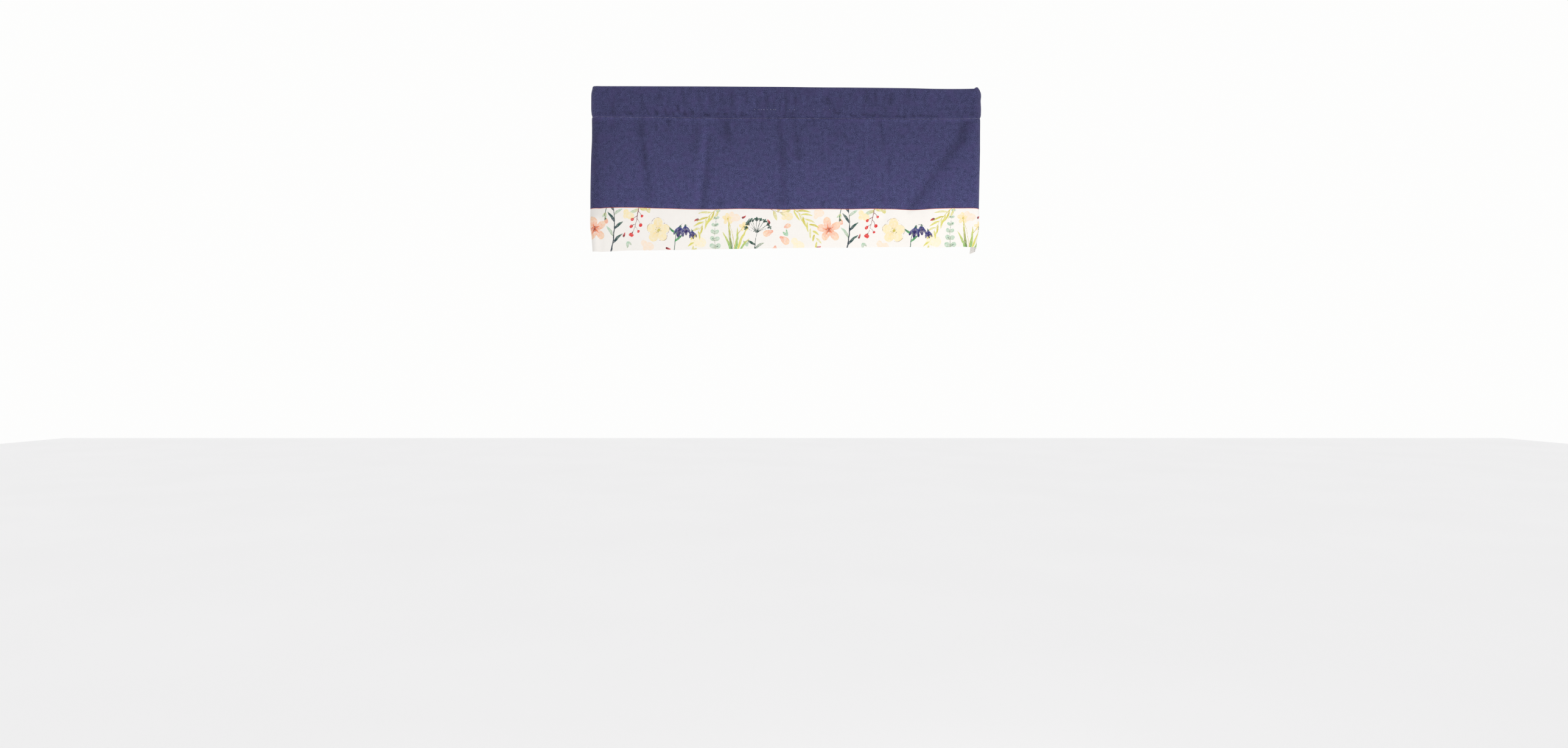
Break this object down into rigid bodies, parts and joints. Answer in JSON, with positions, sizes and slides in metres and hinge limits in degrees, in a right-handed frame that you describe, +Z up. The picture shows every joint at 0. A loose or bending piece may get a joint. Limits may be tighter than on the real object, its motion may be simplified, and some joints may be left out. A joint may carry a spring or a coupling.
{
  "type": "window valance",
  "caption": "Flat rod-pocket window valance with two wall returns: plain navy canvas above a strip of printed cotton along its hem.",
  "frame": {"origin": "the middle of the front run, on the underside of the rod pocket's top fold, where the rod's top edge bears", "axes": "+X to the right along the front as seen from the room, +Y back towards the wall, so the front faces -Y, +Z up"},
  "size_m": [1.0975, 0.1058, 0.4637],
  "materials": {
    "navy_canvas": "matt plain-weave cotton canvas, navy with a violet cast",
    "printed_cotton": "matt plain-weave cotton, off-white, printed with loose watercolour flowers, leaves and berries"
  },
  "bodies": {
    "root": {"rod_pocket_front": "navy_canvas", "rod_pocket_left": "navy_canvas", "rod_pocket_right": "navy_canvas", "body_panel": "navy_canvas", "print_band": "printed_cotton"}
  },
  "joints": []
}
